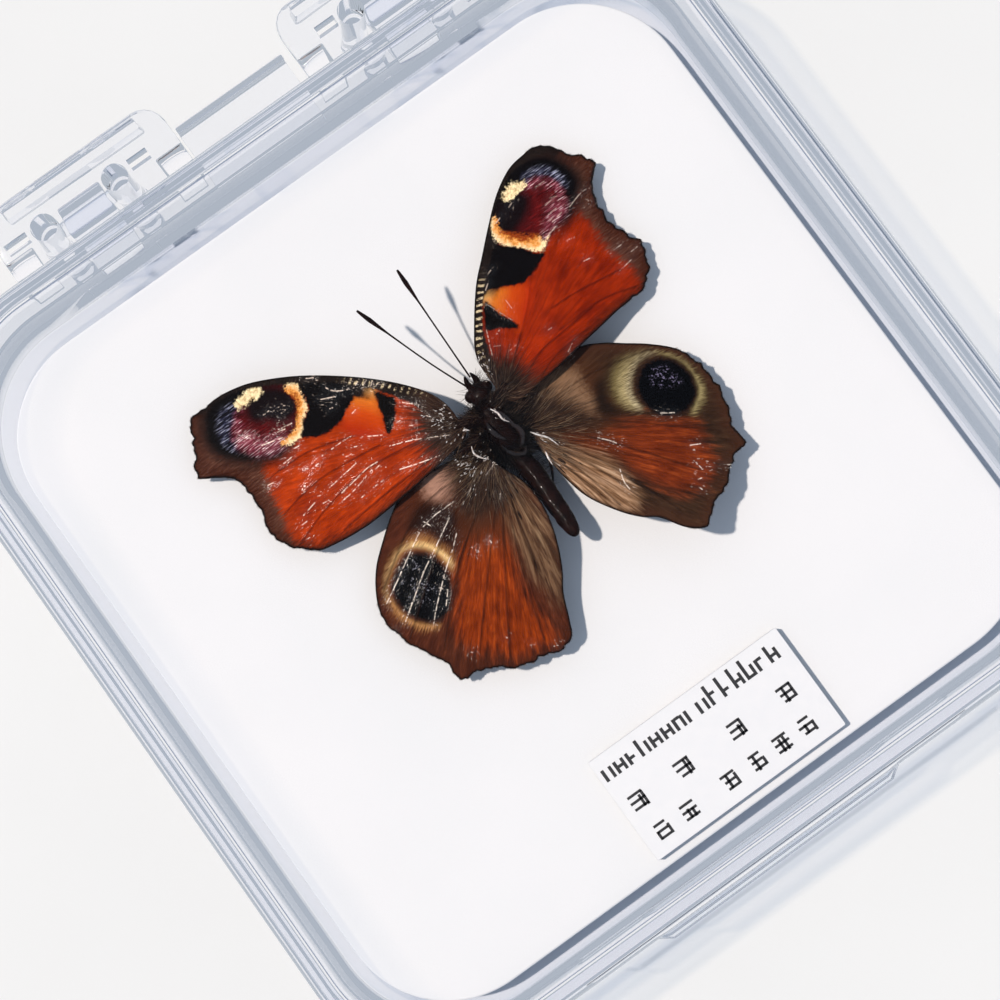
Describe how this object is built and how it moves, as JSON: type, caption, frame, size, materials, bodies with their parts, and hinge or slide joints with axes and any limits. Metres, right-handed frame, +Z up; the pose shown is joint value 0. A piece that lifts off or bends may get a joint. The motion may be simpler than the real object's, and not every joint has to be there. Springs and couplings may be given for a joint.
{
  "type": "boxed butterfly specimen",
  "caption": "Spread butterfly specimen on a white pad with a label card, shut in a clear square box with rounded corners and a lid that swings open on a rear hinge.",
  "frame": {"origin": "centre of the tray's flat resting face", "axes": "+X along the hinge, +Y towards the hinge at the back, +Z up out of the lid's top"},
  "size_m": [0.09, 0.0993, 0.02],
  "materials": {
    "clear_plastic": "clear injection-moulded polystyrene, polished, crystal clear with faint blue-grey edges",
    "white_pad": "smooth matt white foam sheet",
    "label_card": "smooth white card with small black printed marks",
    "dark_hair": "dense dark brown hair over dark chitin",
    "dark_shell": "smooth blackish chitin",
    "wing_red": "dry wing membrane with rust-red scales, dark margins, an eyespot and a slight varnish",
    "wing_brown": "dry wing membrane with brown and rust-red scales and a dark blue eyespot"
  },
  "bodies": {
    "case": {"tray": "clear_plastic", "pad": "white_pad", "label": "label_card", "butterfly_body": "dark_hair", "forewing_left": "wing_red", "forewing_right": "wing_red", "hindwing_left": "wing_brown", "hindwing_right": "wing_brown", "antenna_left": "dark_shell", "antenna_right": "dark_shell", "leg_middle_left": "dark_shell", "leg_middle_right": "dark_shell", "leg_hind_left": "dark_shell", "leg_hind_right": "dark_shell"},
    "lid": {"lid": "clear_plastic"}
  },
  "joints": [
    {"name": "lid_hinge", "type": "hinge", "parent": "case", "child": "lid", "pos_m": [0, 0.0491, 0.01], "axis": [-1, 0, 0], "range_deg": [0, 120]}
  ]
}
